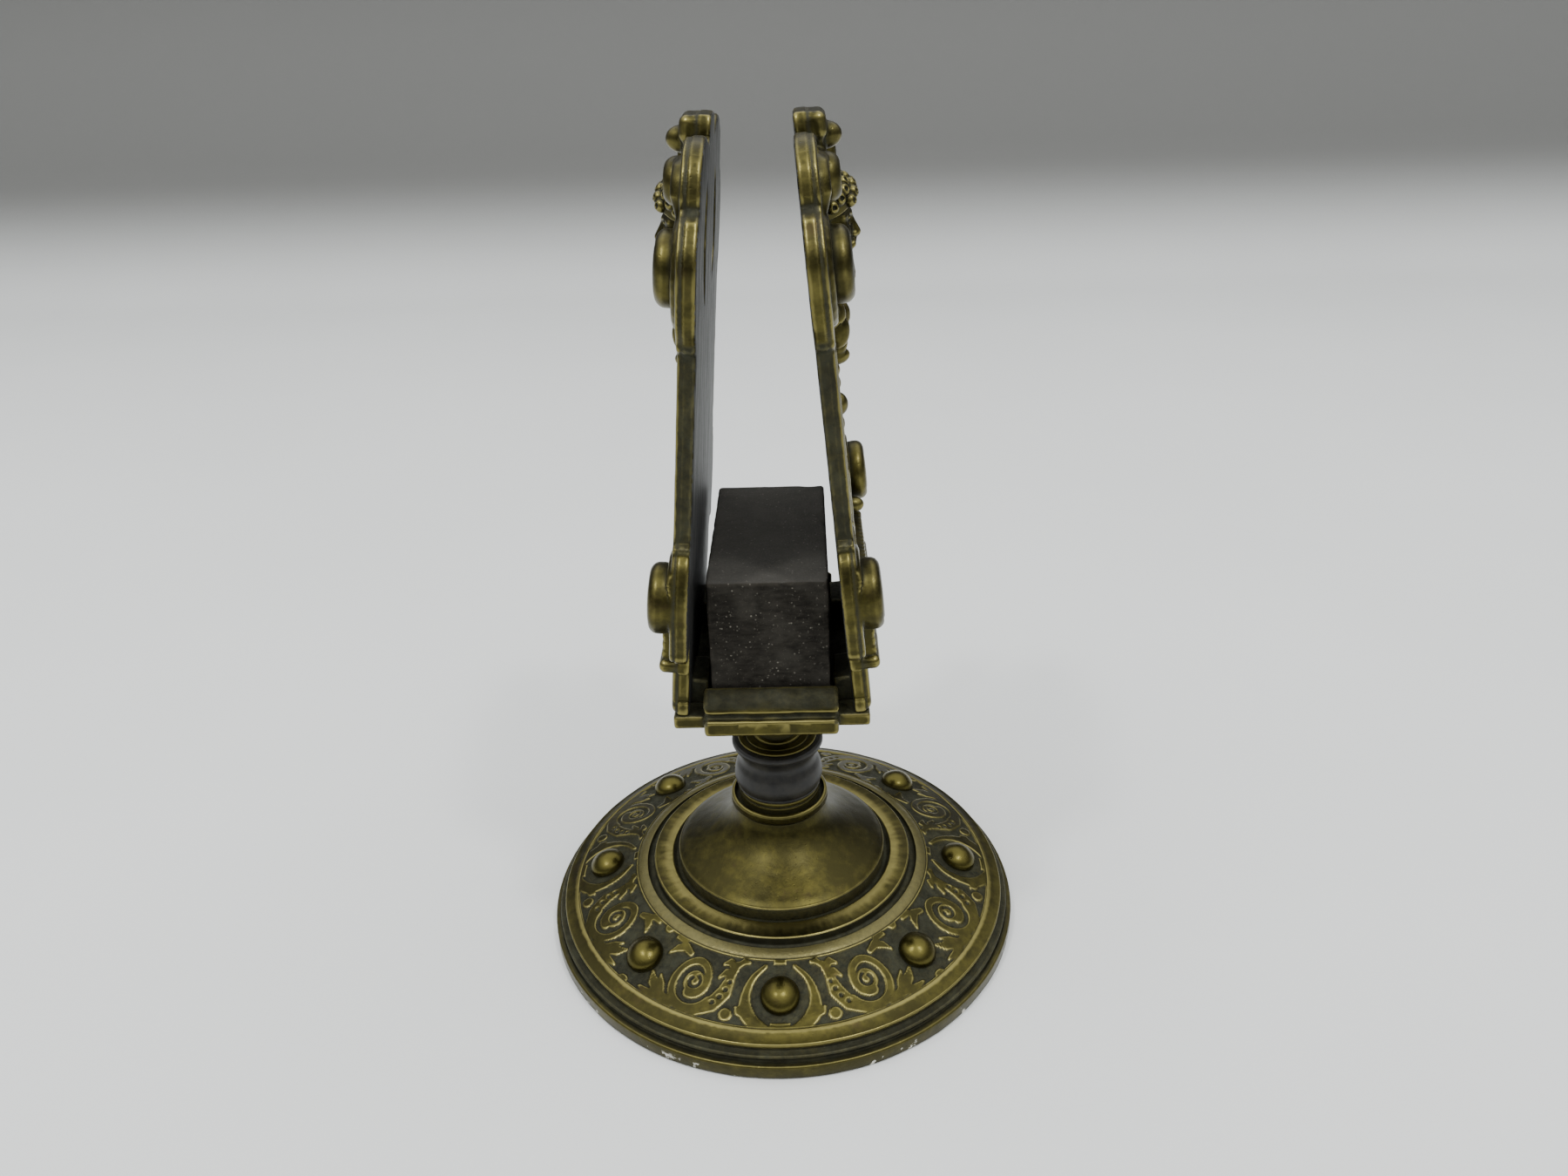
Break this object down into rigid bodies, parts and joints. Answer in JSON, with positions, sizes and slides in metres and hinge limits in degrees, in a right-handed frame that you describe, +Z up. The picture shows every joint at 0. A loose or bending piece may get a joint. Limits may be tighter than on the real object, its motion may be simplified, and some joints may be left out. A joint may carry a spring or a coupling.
{
  "type": "ink blotter",
  "caption": "Desk blotter stand: domed round foot, short turned stem, and a tray with a loose wood block between two ornate upright side plates that lean together.",
  "frame": {"origin": "on the table, under the centre of the round foot", "axes": "+Z up; +X square to one side plate, so the plates face +X and -X; +Y along the tray, from one end lip to the other"},
  "size_m": [0.115, 0.115, 0.1888],
  "materials": {
    "cast_brass": "cast brass with olive-brown patina in the recesses, worn bright on the edges",
    "aged_brass": "turned and chased brass, dulled olive, with dark green-grey ground",
    "stud_brass": "polished brass domes, slightly tarnished",
    "turned_brass": "turned brass, brighter than the castings",
    "ebonised_wood": "turned hardwood stained black, satin polish",
    "dark_wood": "dark stained hardwood, matt, dusty, with worn edges",
    "steel": "dark oiled steel"
  },
  "bodies": {
    "stand": {"foot_plinth": "aged_brass", "foot_disc": "aged_brass", "foot_studs": "stud_brass", "bell": "aged_brass", "cup_ring": "turned_brass", "baluster": "ebonised_wood", "stem_washer": "turned_brass", "upper_neck": "turned_brass", "tie_bolt": "steel", "foot_washer": "steel", "tie_nut": "steel", "tray": "aged_brass", "plate_screws": "steel", "side_plate_right": "cast_brass", "side_plate_left": "cast_brass"},
    "block": {"block": "dark_wood"}
  },
  "joints": [
    {"name": "block_lift", "type": "slide", "parent": "stand", "child": "block", "axis": [0, 0, 1], "range_m": [0, 0.02]}
  ]
}
